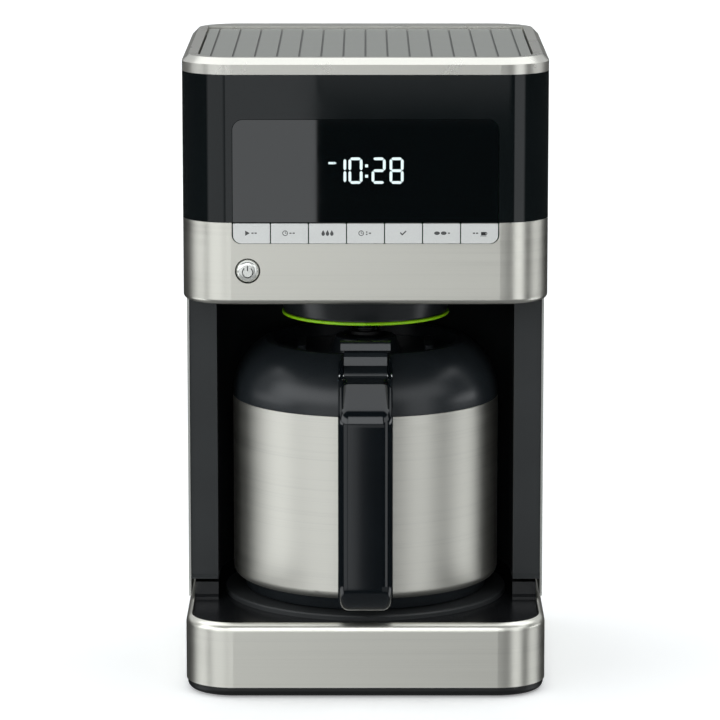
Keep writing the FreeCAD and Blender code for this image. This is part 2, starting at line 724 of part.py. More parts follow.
def make_lid_panel():
    """Ribbed top with a hinge barrel along its rear edge."""
    body = new_body("lid_panel")
    side = half_width - d.rail - d.lid_gap
    lead = front + d.rail + d.lid_gap
    back = front + d.hinge_depth
    plan = [[-side, lead, d.front_corner - d.lid_gap], [side, lead, d.front_corner - d.lid_gap],
            [side, back, d.rear_corner - d.lid_gap], [-side, back, d.rear_corner - d.lid_gap]]
    extrude(body, "XY_Plane", [plan], d.lid_top - d.lid_plate, d.lid_top)
    barrel = (back, d.hinge_height, d.barrel)
    extrude(body, "YZ_Plane", [barrel], -d.barrel_half, d.barrel_half)
    bore = (back, d.hinge_height, d.hinge_pin + 0.06)
    extrude(body, "YZ_Plane", [bore], -d.barrel_half, d.barrel_half, cut=True)
    reach = 7 * d.groove_pitch
    start = -reach
    groove = rectangle(start - d.groove_width / 2, start + d.groove_width / 2, lead - 1, rear)
    cut = extrude(body, "XY_Plane", [groove], d.lid_top - d.groove_depth, d.lid_top + 1, cut=True)
    repeat_along(body, cut, "H_Axis", 2 * reach, 15)


def make_lid_liner():
    """Inner tray of the lid, under the panel."""
    body = new_body("lid_liner")
    lead, back = front + d.liner_front, front + d.liner_rear
    high, low = d.lid_top - d.lid_plate, d.liner_bottom
    outer = rectangle(-d.liner_half, d.liner_half, lead, back, 14)
    extrude(body, "XY_Plane", [outer], low, high)
    inner = rectangle(2 - d.liner_half, d.liner_half - 2, lead + 2, back - 2, 12)
    extrude(body, "XY_Plane", [inner], low, high - 2.2, cut=True)


def make_spray_head():
    """Shower plate over the basket, fed by the arm."""
    body = new_body("spray_head", y=axis_y)
    low, high = d.spray_bottom, d.liner_bottom - 0.5
    revolve(body, [[[0, low], [d.spray_radius, low, 1.5],
                    [d.spray_radius, high, 1.5], [0, high]]])
    hole = extrude(body, "XY_Plane", [(d.spray_circle, 0, d.spray_hole)], low, high, cut=True)
    repeat_round(body, hole, 12)


def make_spray_arm():
    """Duct that leads hot water from above the riser to the spray head."""
    body = new_body("spray_arm")
    low, high = d.liner_bottom - 0.5, d.lid_top - d.lid_plate - 2.2
    half, across = d.arm_half, d.arm_across
    back = front + d.liner_rear - 2.5
    outline = [[-12, axis_y - half], [across + half, axis_y - half], [across + half, back],
               [across - half, back], [across - half, axis_y + half], [-12, axis_y + half]]
    extrude(body, "XY_Plane", [outline], low, high)
    port = (across, front + d.hose_depth - 4, 3)
    extrude(body, "XY_Plane", [port], low, low + 4, cut=True)


# ---------------------------------------------------------------- brewing parts

def make_filter_basket():
    """Conical holder; its lower end stands below the head's floor."""
    body = new_body("filter_basket", y=axis_y)
    low, top, t = d.basket_bottom, d.basket_top, d.basket_wall
    outer, upper = d.basket_low_radius, d.basket_top_radius
    bore = d.stem_radius + d.running_fit
    revolve(body, [[
        [bore, d.hub_bottom], [d.hub_radius, d.hub_bottom], [d.hub_radius, low],
        [outer, low], [outer, low + 2.4], [outer + 0.8, low + 2.5], [outer + 4.4, low + 18],
        [upper, top - 4], [d.basket_flange, top - 3], [d.basket_flange, top],
        [upper - t, top], [outer + 4.4 - t, low + 19], [outer - t, low + 5, 3],
        [d.hub_radius, low + 2.5], [bore, low + 2.5]]])


def make_basket_seal():
    body = new_body("basket_seal", y=axis_y)
    low, inner, outer = d.basket_bottom - 0.1, d.basket_low_radius, d.seal_ring
    revolve(body, [[[inner, low], [outer, low, 0.7], [outer, low + 1.8, 0.7],
                    [inner, low + 1.8]]])


def make_mesh_filter():
    """Permanent cone filter standing in the basket."""
    body = new_body("mesh_filter", y=axis_y)
    low, top, foot, rim = d.mesh_floor, d.mesh_top, d.mesh_foot, d.mesh_rim
    wall, stand = 1.2, d.basket_bottom + 3.8
    revolve(body, [[[0, low], [foot - 3, low], [foot - 3, stand], [foot, stand], [foot, low],
                    [rim - 2, top], [rim, top], [rim, top + 2], [rim - 2 - wall, top + 2],
                    [foot - wall, low + wall], [0, low + wall]]])


def make_drip_stop():
    """Plunger that the carafe's lid lifts; it closes the basket's outlet when it drops."""
    body = new_body("drip_stop", y=axis_y)
    low = d.stop_bottom
    seat = d.basket_bottom + 2.5
    revolve(body, [[[0, low], [d.stop_foot, low, 0.8], [d.stop_foot, low + 2.2],
                    [d.stem_radius, low + 2.2], [d.stem_radius, seat + 4.4],
                    [7.2, seat + 4.4], [7.2, seat + 6], [0, seat + 6.8]]])


def make_spring(label, x, y, low, high, radius, wire, turns):
    """A compression spring: a wire circle carried along a helix."""
    body = new_body(label, x=x, y=y, z=low)
    sketch = new_sketch(body, "XZ_Plane", 0)
    draw_circle(sketch, radius, wire, wire)
    coil = body.newObject("PartDesign::AdditiveHelix", label + "_helix")
    coil.Profile = sketch
    coil.ReferenceAxis = (sketch, ["V_Axis"])
    coil.Mode = 0
    climb = high - low - 2 * wire
    bind(coil, "Pitch", climb / turns)
    bind(coil, "Height", climb)
    sketch.Visibility = False


def make_water_tank():
    """Open tank that wraps round the back of the basket; a sleeve lets the riser through."""
    body = new_body("water_tank")
    low, top, wall = d.tank_bottom, d.tank_top, 2
    lead, back, side = front + d.tank_front, front + d.tank_rear, d.tank_half
    corner, bite = d.tank_corner, d.tank_bite
    outer = [[-side, lead], [side, lead], [side, back, corner], [-side, back, corner]]
    inner = [[wall - side, lead + wall], [side - wall, lead + wall],
             [side - wall, back - wall, corner - wall], [wall - side, back - wall, corner - wall]]
    extrude(body, "XY_Plane", [outer], low, top)
    extrude(body, "XY_Plane", [inner], low + wall, top, cut=True)
    extrude(body, "XY_Plane", [(0, axis_y, bite + wall)], low, top)
    riser = (d.hose_across, front + d.hose_depth)
    extrude(body, "XY_Plane", [(*riser, d.hose_radius + 3)], low, top)
    extrude(body, "XY_Plane", [(0, axis_y, bite)], low, top, cut=True)
    ahead = rectangle(-side - 1, side + 1, axis_y - bite - wall - 1, lead)
    extrude(body, "XY_Plane", [ahead], low, top, cut=True)
    extrude(body, "XY_Plane", [(*riser, d.hose_radius + 1)], low, top, cut=True)
    outlet = (-d.hose_across, front + d.hose_depth)
    extrude(body, "XY_Plane", [(*outlet, d.hose_bore)], low - 12, low + 1)
    extrude(body, "XY_Plane", [(*outlet, d.hose_bore - 1.2)], low - 12, low + wall, cut=True)


def make_hose(label, sign, depth_end, top):
    """A hose that runs level in the base, turns up and climbs the column."""
    body = new_body(label, x=sign * d.hose_across)
    level, climb_y, bend = d.heater_height, front + d.hose_depth, d.hose_bend
    spine = new_sketch(body, "YZ_Plane", 0)
    start = V(depth_end.value, level.value, 0)
    corner = V(climb_y.value, level.value, 0)
    end = V(climb_y.value, top.value, 0)
    turn_in, turn_out, arc, _ = corner_arc(start, corner, end, bend.value)
    run = spine.addGeometry(Part.LineSegment(start, turn_in), False)
    turn = spine.addGeometry(arc, False)
    rise = spine.addGeometry(Part.LineSegment(turn_out, end), False)
    spine.addConstraint(Sketcher.Constraint("Tangent", run, 2, turn, 1))
    spine.addConstraint(Sketcher.Constraint("Tangent", turn, 2, rise, 1))
    spine.addConstraint(Sketcher.Constraint("Horizontal", run))
    spine.addConstraint(Sketcher.Constraint("Vertical", rise))
    index = spine.addConstraint(Sketcher.Constraint("Radius", turn, bend.value))
    spine.setExpression(f"Constraints[{index}]", bend.text)
    pin_point(spine, run, 1, depth_end, level)
    pin_point(spine, rise, 2, climb_y, top)
    ring = new_sketch(body, "XZ_Plane", -depth_end)
    draw_circle(ring, 0, level, d.hose_radius)
    draw_circle(ring, 0, level, d.hose_bore + 0.1)
    pipe = body.newObject("PartDesign::AdditivePipe", label + "_pipe")
    pipe.Profile = ring
    pipe.Spine = (spine, ["Edge1", "Edge2", "Edge3"])
    spine.Visibility = ring.Visibility = False


def make_flow_heater():
    """Horseshoe extrusion in the base, with a water nipple at each end."""
    body = new_body("flow_heater")
    low, high = d.heater_height - d.heater_rise, d.heater_height + d.heater_rise
    half, mid = d.heater_half, d.hose_across
    end_y = front + d.heater_leg_end
    inner, outer = mid - half, mid + half
    extrude(body, "XY_Plane", [(0, axis_y, outer)], low, high)
    extrude(body, "XY_Plane", [rectangle(-outer, outer, axis_y, end_y)], low, high)
    extrude(body, "XY_Plane", [(0, axis_y, inner)], low, high, cut=True)
    behind = axis_y + outer + 1
    extrude(body, "XY_Plane", [rectangle(-inner, inner, axis_y, behind)], low, high, cut=True)
    extrude(body, "XY_Plane", [rectangle(-outer - 1, outer + 1, end_y, behind)],
            low, high, cut=True)
    soften(body, 4, lambda edge: (at_height(low)(edge) or at_height(high)(edge))
           and not all(abs(v.Y - end_y.value) < 0.01 for v in edge.Vertexes))
    nipples = [(sign * mid, d.heater_height, d.hose_bore) for sign in (-1, 1)]
    extrude(body, "XZ_Plane", nipples, end_y - 1, end_y + d.nipple)


def make_heater_parts():
    centre = d.heater_height
    end_y = front + d.heater_leg_end
    terminals = [cylinder("terminal", 1.6, 9, sign * d.hose_across, end_y,
                          centre - 7.5, axis="Y") for sign in (-1, 1)]
    group("heater_terminals", terminals)
    seat = axis_y - d.hose_across + d.heater_half + 0.6
    disc = cylinder("thermostat", 8, 7, 0, seat, centre, axis="Y")
    disc.Label = "thermostat"
    nodes.append(disc)
    fuse_y = axis_y - d.hose_across - d.heater_half - d.fuse_radius - d.slack
    fuse = cylinder("thermal_fuse", d.fuse_radius, 26, -13, fuse_y, centre, axis="X")
    fuse.Label = "thermal_fuse"
    nodes.append(fuse)


def make_check_valve():
    """Valve case on the tank hose, with a ball that lifts off its seat as water runs."""
    start, length = valve_case_start(), d.valve_case
    body = new_body("check_valve", x=-d.hose_across, y=start, z=d.heater_height)
    cage = d.ball_radius + 1.2
    extrude(body, "XZ_Plane", [(0, 0, d.valve_case_radius)], 0, length)
    extrude(body, "XZ_Plane", [(0, 0, cage)], 2, length - 2, cut=True)
    extrude(body, "XZ_Plane", [(0, 0, 2.2)], -1, length + 1, cut=True)
    ball = doc.addObject("Part::Sphere", "check_ball")
    ball.Label = "check_ball"
    bind(ball, "Radius", d.ball_radius)
    bind(ball, "Placement.Base.x", -d.hose_across)
    bind(ball, "Placement.Base.y", start + length - 2.4 - d.ball_radius)
    bind(ball, "Placement.Base.z", d.heater_height)
    nodes.append(ball)


def valve_case_start():
    return front + d.heater_leg_end + d.nipple + 0.2


def make_power_board():
    board = box("board", -40, front + 100, 9, 60, 42, 1.6)
    relay = box("relay", -34, front + 108, 10.6, 19, 15, 15)
    capacitor = cylinder("capacitor", 6, 16, 2, front + 125, 10.6)
    node = fused("power_board", [board, relay, capacitor])
    node.Label = "power_board"
    nodes.append(node)


# ---------------------------------------------------------------- carafe

def make_carafe_shell():
    body = new_body("carafe_shell", y=axis_y)
    radius, low, high, wall = d.carafe_radius, d.shell_bottom, d.shell_top, d.steel_wall
    revolve(body, [[[66, low], [radius, low, 4.5], [radius, high],
                    [radius - wall, high], [radius - wall, low + wall, 3.7],
                    [66, low + wall]]])


def make_carafe_liner():
    """Inner steel vessel with its narrow neck."""
    body = new_body("carafe_liner", y=axis_y)
    wide, neck, floor, wall = d.liner_radius, d.neck_radius, d.liner_floor, d.steel_wall
    revolve(body, [[[0, floor], [wide, floor, 8], [wide, 148, 14],
                    [neck, 161, 8], [neck, d.ledge - 0.3],
                    [neck - wall, d.ledge - 0.3], [neck - wall, 160.6, 7.2],
                    [wide - wall, 147.6, 13.2],
                    [wide - wall, floor + wall, 7.2], [0, floor + wall]]])


def make_carafe_foot():
    body = new_body("carafe_foot", y=axis_y)
    low, high = d.carafe_bottom, d.shell_bottom - 0.1
    revolve(body, [[[58, low], [68, low, 1.5], [70.5, high],
                    [0, high], [0, high - 2.5], [58, high - 2.5]]])


def collar_outline(inset):
    """The dome's outside as (radius, height) corners, moved inwards by inset."""
    radius = d.carafe_radius - inset
    return [[radius, d.shell_top + 0.3], [radius, d.dome_corner - inset * 0.6, d.dome_round - inset],
            [d.rim_radius, d.rim_top - inset, 1.2]]


def make_carafe_collar():
    """Black dome over the steel shell, with the mouth, a pouring lip and the lever's slot."""
    body = new_body("carafe_collar", y=axis_y)
    dome_in = d.carafe_radius - 2.6
    revolve(body, [collar_outline(0) + [
        [d.mouth_radius, d.rim_top, 0.8], [d.mouth_radius, d.ledge],
        [d.neck_radius + 0.2, d.ledge], [d.neck_radius + 0.2, d.ledge - 2.5],
        [54.5, d.ledge - 2.5], [54.5, 184.5],
        [dome_in, 173.6, 32], [dome_in, d.shell_top + 0.3]]])
    lip = [[-13, d.mouth_radius + 1], [13, d.mouth_radius + 1],
           [5, 67, 3], [-5, 67, 3]]
    extrude(body, "XY_Plane", [lip], d.rim_top - 12, d.rim_top - 0.6)
    channel = [[-9, d.mouth_radius - 3], [9, d.mouth_radius - 3],
               [3, 64.5, 2], [-3, 64.5, 2]]
    extrude(body, "XY_Plane", [channel], d.rim_top - 7, d.rim_top + 1, cut=True)
    slot = rectangle(-5.5, 5.5, -d.carafe_radius, -d.mouth_radius + 2)
    extrude(body, "XY_Plane", [slot], d.rim_top - 6, d.rim_top + 1, cut=True)


def handle_place(depth, height, *radius):
    """A corner given as depth behind the front plane and height, seen from the side."""
    return [front + depth - axis_y, height, *radius]


def make_carafe_handle():
    """Loop handle with a fork at its top that carries the thumb lever."""
    body = new_body("carafe_handle", y=axis_y)
    reach = -d.handle_reach
    outer = [handle_place(38, 184), handle_place(30, 188.5), handle_place(20, 188.5, 6),
             handle_place(6, 180, 8), handle_place(-9, 179, 3),
             handle_place(reach, 164, 13), handle_place(reach, 52, 17),
             handle_place(26, 54), handle_place(26, 69), handle_place(-9, 69, 10),
             handle_place(-9, 161, 9), handle_place(38, 161)]
    extrude(body, "YZ_Plane", [outer], -d.handle_half, d.handle_half)
    front_face = d.axis_depth.value + d.handle_reach.value
    soften(body, 6, lambda edge: abs(edge.BoundBox.YMin + front_face) < 8
           and abs(abs(edge.CenterOfMass.x) - d.handle_half.value) < 0.01)
    groove = [[0, 30], [d.carafe_radius + 0.1, 30],
              [d.carafe_radius + 0.1, d.dome_corner + 0.1, d.dome_round],
              [d.rim_radius, d.rim_top + 0.2], [0, d.rim_top + 0.2]]
    revolve(body, [groove], cut=True)
    floor = d.fork_floor
    fork = [handle_place(1, floor), handle_place(24, floor), handle_place(40, floor + 6),
            handle_place(40, floor + 26), handle_place(1, floor + 26)]
    extrude(body, "YZ_Plane", [fork], -d.fork_half, d.fork_half, cut=True)
    pivot = (front + d.lever_depth - axis_y, d.lever_height, d.lever_pin)
    extrude(body, "YZ_Plane", [pivot], -d.handle_half, d.handle_half, cut=True)


def make_thumb_lever():
    """Thumb pad on the pin, with a finger that reaches over the rim to the valve."""
    body = new_body("thumb_lever", y=axis_y)
    half, top, low = d.fork_half - 0.35, d.lever_top, d.finger_low
    pad = [handle_place(8.5, 175.8, 3), handle_place(15.5, 175.8, 3), handle_place(29.5, 190.1),
           handle_place(29.5, 193), handle_place(24, 193), handle_place(24, 191),
           handle_place(20.6, 190.2), handle_place(18.9, 188.4), handle_place(17.4, 183.6, 0.6),
           handle_place(8.5, 181.2, 2)]
    extrude(body, "YZ_Plane", [pad], -half, half)
    bar = [handle_place(22.4, 191.4), handle_place(30, 191.4), handle_place(30, top, 1.5),
           handle_place(23.5, top, 1.5)]
    extrude(body, "YZ_Plane", [bar], -13.75, 13.75)
    finger = [handle_place(27, low), handle_place(61, low, 1.2), handle_place(61, low + 3.2, 1.2),
              handle_place(27, low + 5)]
    extrude(body, "YZ_Plane", [finger], -4, 4)
    pivot = (front + d.lever_depth - axis_y, d.lever_height, d.lever_pin + 0.06)
    extrude(body, "YZ_Plane", [pivot], -half - 1, half + 1, cut=True)


def make_lever_pin():
    pin = cylinder("lever_pin", d.lever_pin, 2 * d.handle_half - 1, 0.5 - d.handle_half,
                   front + d.lever_depth, d.lever_height, axis="X")
    pin.Label = "lever_pin"
    nodes.append(pin)


def valve_offset():
    """Y of the pour valve's axis from the carafe's axis."""
    return d.valve_depth - d.axis_depth


def make_carafe_lid():
    """Twist lid sunk in the mouth, with a central well and a grip across it."""
    body = new_body("carafe_lid", y=axis_y)
    deck = d.ledge + 7.0
    low = d.ledge - 10
    revolve(body, [[
        [5, low], [46.5, low], [46.5, d.ledge + 0.3],
        [d.mouth_radius - 0.6, d.ledge + 0.3], [d.mouth_radius - 0.6, deck, 1],
        [20, deck], [17, d.stop_bottom - 0.5, 1],
        [13, d.stop_bottom - 0.5, 1],
        [5, d.stop_bottom - 4.5]]])
    bore = (0, valve_offset(), d.valve_radius + d.running_fit)
    extrude(body, "XY_Plane", [bore], low, deck + 1, cut=True)
    for x in (-36, 36):
        rib = rectangle(x - 2.5, x + 2.5, -16, 16, 2)
        extrude(body, "XY_Plane", [rib], deck - 1, deck + 5)


def make_lid_gasket():
    body = new_body("lid_gasket", y=axis_y)
    low = d.ledge - 8
    revolve(body, [[[46.5, low], [48.3, low, 0.8],
                    [48.3, low + 3, 0.8], [46.5, low + 3]]])


def make_pour_valve():
    """Push rod with its sealing disc under the lid."""
    body = new_body("pour_valve", y=axis_y + valve_offset())
    low = d.ledge - 10.4
    revolve(body, [[[0, low - 2.5], [8.5, low - 2.5], [8.5, low],
                    [d.valve_radius, low], [d.valve_radius, d.valve_top, 0.8],
                    [0, d.valve_top]]])


# ---------------------------------------------------------------- build, check, write

def make_everything():
    for make in (make_base_plate, make_feet, make_base_screws, make_base_band, make_base_deck,
                 make_carafe_rest, make_cord_gland, make_bay_liner, make_rear_cover,
                 make_head_chassis, make_head_band, make_front_fascia, make_level_window,
                 make_display_window, make_display_module, make_control_board, make_keys,
                 make_power_button, make_key_switches, make_top_ring, make_hinge_pins,
                 make_lid_panel, make_lid_liner, make_spray_head, make_spray_arm,
                 make_filter_basket, make_basket_seal, make_mesh_filter, make_drip_stop,
                 make_water_tank, make_flow_heater, make_heater_parts, make_check_valve,
                 make_power_board, make_carafe_shell, make_carafe_liner, make_carafe_foot,
                 make_carafe_collar, make_carafe_handle, make_thumb_lever, make_lever_pin,
                 make_carafe_lid, make_lid_gasket, make_pour_valve):
        make()
    for side in ("left", "right"):
        make_pillar(side)
        make_side_panel(side)
    make_spring("drip_stop_spring", 0, axis_y, d.stop_bottom + 2.2, d.hub_bottom,
                5.6, 0.5, 3)
    make_hose("inlet_hose", -1, valve_case_start() + d.valve_case + 0.2, d.tank_bottom - 0.2)
    make_hose("riser_hose", 1, front + d.heater_leg_end + 0.2, d.liner_bottom - 2.5)


def check_and_write():
    doc.recompute()
    for item in doc.Objects:
        if any(word in item.State for word in ("Invalid", "Error")):
            raise RuntimeError(f"{item.Name} ({item.Label}) failed: {item.State}")
        if item.TypeId in ("PartDesign::Pocket", "PartDesign::Groove"):
            if item.Shape.Volume > item.BaseFeature.Shape.Volume - 0.01:
                raise RuntimeError(f"{item.Name} cuts nothing")
    os.makedirs("parts", exist_ok=True)
    for node in nodes:
        shape = node.Shape
        if shape.isNull() or not shape.isValid():
            raise RuntimeError(f"{node.Label} has no valid shape")
        shape.exportStep(f"parts/{node.Label}.step")
        print(f"{node.Label}: {len(shape.Solids)} solid(s), {shape.Volume / 1000:.2f} cm3")
    print(len(nodes), "nodes")


make_everything()
check_and_write()
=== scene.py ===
import json
import math

import bmesh
import bpy
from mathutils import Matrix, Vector


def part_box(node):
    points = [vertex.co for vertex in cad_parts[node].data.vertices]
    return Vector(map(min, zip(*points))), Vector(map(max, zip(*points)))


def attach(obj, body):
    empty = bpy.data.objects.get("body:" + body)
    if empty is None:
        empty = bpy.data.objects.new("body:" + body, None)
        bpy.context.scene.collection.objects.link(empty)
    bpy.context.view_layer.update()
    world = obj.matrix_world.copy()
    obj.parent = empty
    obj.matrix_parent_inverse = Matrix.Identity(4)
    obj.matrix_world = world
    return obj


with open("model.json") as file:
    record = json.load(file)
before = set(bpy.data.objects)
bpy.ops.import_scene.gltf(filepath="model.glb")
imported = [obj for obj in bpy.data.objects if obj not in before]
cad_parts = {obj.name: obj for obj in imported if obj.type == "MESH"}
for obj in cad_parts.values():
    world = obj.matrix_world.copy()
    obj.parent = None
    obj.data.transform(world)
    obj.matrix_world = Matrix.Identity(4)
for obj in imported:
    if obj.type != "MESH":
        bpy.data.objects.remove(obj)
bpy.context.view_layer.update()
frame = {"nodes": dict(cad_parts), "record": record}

MM = 0.001
PAINTED_SHADE_FADE = 0.2        # mm of height over which the painted shade fades out
NODES = frame["nodes"]
RECORD = frame["record"]


# ------------------------------------------------------------------ materials

def linear(*levels):
    """A colour given as sRGB levels from 0 to 255, as the linear values that a shader takes."""
    shares = [level / 255 for level in levels]
    return tuple(s / 12.92 if s <= 0.04045 else ((s + 0.055) / 1.055) ** 2.4 for s in shares)


class Finish:
    """One procedural material: a shader, and the textures that vary it."""

    def __init__(self, name, color, rough, metal=0.0, **sockets):
        self.material = bpy.data.materials.new(name)
        self.material.use_nodes = True
        self.tree = self.material.node_tree
        self.shader = self.tree.nodes["Principled BSDF"]
        self.color, self.rough = linear(*color), rough
        self.normal = None
        for socket, value in (("Base Color", (*self.color, 1.0)), ("Roughness", rough),
                              ("Metallic", metal), *sockets.items()):
            self.shader.inputs[socket.replace("_", " ")].default_value = value

    def node(self, kind, **settings):
        made = self.tree.nodes.new("ShaderNode" + kind)
        for key, value in settings.items():
            setattr(made, key, value)
        return made

    def link(self, start, end):
        self.tree.links.new(start, end)

    def noise(self, scale, detail=3.0, rough=0.55):
        """Noise whose scale is set along X, Y and Z, in cells per metre."""
        place = self.node("TexCoord")
        stretch = self.node("Mapping")
        stretch.inputs["Scale"].default_value = scale
        self.link(place.outputs["Object"], stretch.inputs["Vector"])
        cloud = self.node("TexNoise")
        cloud.inputs["Scale"].default_value = 1.0
        cloud.inputs["Detail"].default_value = detail
        cloud.inputs["Roughness"].default_value = rough
        self.link(stretch.outputs["Vector"], cloud.inputs["Vector"])
        return cloud.outputs["Fac"]

    def cells(self, scale, distance):
        """Cells of a size in cells per metre, with their own measure of distance."""
        place = self.node("TexCoord")
        cloud = self.node("TexVoronoi", distance=distance)
        cloud.inputs["Scale"].default_value = scale
        self.link(place.outputs["Object"], cloud.inputs["Vector"])
        return cloud.outputs["Distance"]

    def remap(self, source, low, high, start=0.3, end=0.7):
        """Turn values from start to end into values from low to high."""
        spread = self.node("MapRange")
        for socket, value in (("From Min", start), ("From Max", end),
                              ("To Min", low), ("To Max", high)):
            spread.inputs[socket].default_value = value
        self.link(source, spread.inputs["Value"])
        return spread.outputs["Result"]

    def shade(self, source, change, start=0.3, end=0.7):
        """Vary the colour either side of its own value by a share."""
        ramp = self.node("ValToRGB")
        levels = ((start, 1 - change), (end, 1 + change))
        for element, (place, factor) in zip(ramp.color_ramp.elements, levels):
            element.position = place
            element.color = (*(min(1.0, level * factor) for level in self.color), 1.0)
        self.link(source, ramp.inputs["Fac"])
        self.link(ramp.outputs["Color"], self.shader.inputs["Base Color"])
        return self

    def polish(self, source, change, start=0.3, end=0.7):
        """Vary the roughness either side of its own value."""
        spread = self.remap(source, self.rough - change, self.rough + change, start, end)
        self.link(spread, self.shader.inputs["Roughness"])
        return self

    def relief(self, source, height_mm, strength=1.0):
        """Raise the surface by up to height_mm where the texture is bright."""
        bump = self.node("Bump")
        bump.inputs["Strength"].default_value = strength
        bump.inputs["Distance"].default_value = height_mm * MM
        self.link(source, bump.inputs["Height"])
        if self.normal is not None:
            self.link(self.normal, bump.inputs["Normal"])
        self.normal = bump.outputs["Normal"]
        self.link(self.normal, self.shader.inputs["Normal"])
        return self

    def crown(self, radius_mm):
        """Lean the normals as on a face that bulges slightly from left to right."""
        parts = self.node("SeparateXYZ")
        self.link(self.node("TexCoord").outputs["Object"], parts.inputs[0])
        square = self.node("Math", operation="MULTIPLY")
        self.link(parts.outputs["X"], square.inputs[0])
        self.link(parts.outputs["X"], square.inputs[1])
        drop = self.node("Math", operation="MULTIPLY")
        drop.inputs[1].default_value = -0.5 / (radius_mm * MM)
        self.link(square.outputs[0], drop.inputs[0])
        return self.relief(drop.outputs[0], 1 / MM)

    def paint_shade_below(self, height_mm, share):
        """Paint shade on everything lower than a height, such as the floors of shallow grooves
        where shade falls.
        """
        parts = self.node("SeparateXYZ")
        self.link(self.node("TexCoord").outputs["Object"], parts.inputs[0])
        unshaded = self.remap(parts.outputs["Z"], share, 1.0,
                           (height_mm - PAINTED_SHADE_FADE) * MM, height_mm * MM)
        mixed = self.node("VectorMath", operation="SCALE")
        self.link(self.shader.inputs["Base Color"].links[0].from_socket, mixed.inputs[0])
        self.link(unshaded, mixed.inputs["Scale"])
        self.link(mixed.outputs[0], self.shader.inputs["Base Color"])
        return self

    def brushed_round(self):
        """Brush lines that run round the Z axis."""
        tangent = self.node("Tangent", direction_type="RADIAL", axis="Z")
        self.link(tangent.outputs["Tangent"], self.shader.inputs["Tangent"])
        return self


def steel(name, color, rough, streak, anisotropy):
    """Steel brushed round the object: fine lines, and wider lighter and darker bands of them."""
    made = Finish(name, color, rough, metal=1.0, Anisotropic=anisotropy, Anisotropic_Rotation=0.25)
    fine = made.noise((5, 5, 4200), detail=3)
    bands = made.noise((4, 4, 520), detail=3)
    mixed = made.node("Math", operation="ADD")
    made.link(fine, mixed.inputs[0])
    made.link(bands, mixed.inputs[1])
    made.shade(mixed.outputs[0], streak, 0.75, 1.25)
    made.polish(bands, rough * 0.08)
    made.relief(fine, 0.001, 0.12)
    return made.brushed_round()


def satin(name, color, rough, metal=0.85):
    """Silver lacquer: a fine metallic flake under a smooth, faintly wavy coat."""
    made = Finish(name, color, rough, metal=metal, Coat_Weight=0.15, Coat_Roughness=0.2)
    made.shade(made.noise((1400, 1400, 1400), detail=2), 0.02)
    made.polish(made.noise((40, 40, 40)), 0.01)
    return made.relief(made.noise((30, 30, 30), detail=0), 0.002, 0.04)


def moulded(name, color, rough, texture_mm=0.02, scale=1500):
    """Moulded plastic with the fine spark texture of its tool, and faint flow variation."""
    made = Finish(name, color, rough)
    made.shade(made.noise((35, 35, 35)), 0.12)
    grain = made.noise((scale, scale, scale), detail=3, rough=0.7)
    made.polish(grain, rough * 0.12)
    return made.relief(grain, texture_mm, 0.6)


def gloss(name, color, rough, ior=1.5):
    """Gloss plastic: very slight waviness and a little unevenness in the polish."""
    made = Finish(name, color, rough, IOR=ior)
    made.shade(made.noise((20, 20, 20)), 0.08)
    made.polish(made.noise((45, 45, 45), detail=1), rough * 0.4)
    return made.relief(made.noise((25, 25, 25), detail=0), 0.002, 0.04)


def rubbery(name, color, rough, **sockets):
    """Rubber or silicone: matt and faintly grainy."""
    made = Finish(name, color, rough, **sockets)
    made.shade(made.noise((90, 90, 90)), 0.06)
    made.polish(made.noise((900, 900, 900)), 0.06)
    return made.relief(made.noise((1400, 1400, 1400), detail=2), 0.01, 0.5)


def clear(name, color, rough, through):
    """Clear plastic that lets a share of the light through."""
    made = Finish(name, color, rough, IOR=1.5, Transmission_Weight=through)
    made.polish(made.noise((70, 70, 70), detail=4), rough * 0.4)
    return made.relief(made.noise((120, 120, 40), detail=1), 0.02, 0.2)


def woven(name, color, rough):
    """Fine steel gauze: two crossed sets of wires."""
    made = Finish(name, color, rough, metal=1.0)
    place = made.node("TexCoord")
    waves = []
    for direction in ("X", "Z"):
        wave = made.node("TexWave", wave_type="BANDS", bands_direction=direction)
        wave.inputs["Scale"].default_value = 340.0
        wave.inputs["Distortion"].default_value = 0.3
        made.link(place.outputs["Object"], wave.inputs["Vector"])
        waves.append(wave.outputs["Fac"])
    both = made.node("Math", operation="MULTIPLY")
    for number, wave in enumerate(waves):
        made.link(wave, both.inputs[number])
    made.shade(both.outputs[0], 0.35, 0.0, 0.8)
    made.polish(made.noise((200, 200, 200)), 0.05)
    return made.relief(both.outputs[0], 0.12, 0.9)


def circuit_board(name, color, rough):
    """A lacquered board with its copper tracks showing through."""
    made = Finish(name, color, rough)
    tracks = made.cells(260.0, "MANHATTAN")
    made.shade(tracks, 0.4, 0.2, 0.6)
    made.polish(made.noise((300, 300, 300)), 0.06)
    return made.relief(tracks, 0.05, 0.6)


